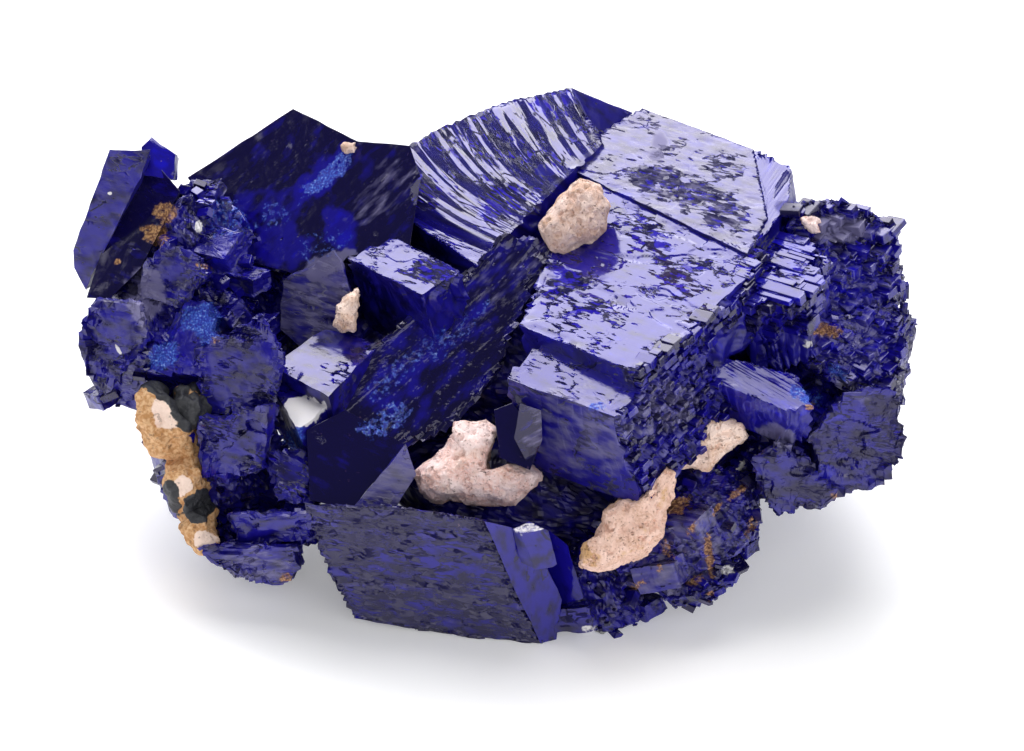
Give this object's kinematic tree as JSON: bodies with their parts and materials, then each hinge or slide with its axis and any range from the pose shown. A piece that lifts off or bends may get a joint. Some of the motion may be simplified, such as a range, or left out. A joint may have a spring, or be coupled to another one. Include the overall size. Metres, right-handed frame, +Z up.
{
  "type": "rough azurite",
  "caption": "Rough azurite specimen: stepped and bladed deep-blue crystals grown together, holding pale clay stones and orange limonite.",
  "frame": {"origin": "middle of the specimen's box, at the level it rests on", "axes": "+Z up as it rests, +X to the right along its longest side, -Y towards the front that shows the stepped plates"},
  "size_m": [0.0768, 0.0538, 0.0364],
  "materials": {
    "azurite": "deep blue crystal with a glassy lustre, bright flat faces and rough etched ones",
    "pale_clay": "dull, porous, pale pink to cream clay stone",
    "limonite": "dull orange iron-stained crust with dark round lumps"
  },
  "bodies": {
    "root": {"azurite_cluster": "azurite", "clay_stone_pink": "pale_clay", "clay_stone_front": "pale_clay", "clay_stone_oval": "pale_clay", "clay_stone_right": "pale_clay", "clay_chip_left": "pale_clay", "clay_chip_upper": "pale_clay", "clay_chip_right": "pale_clay", "limonite_matrix": "limonite"}
  },
  "joints": []
}
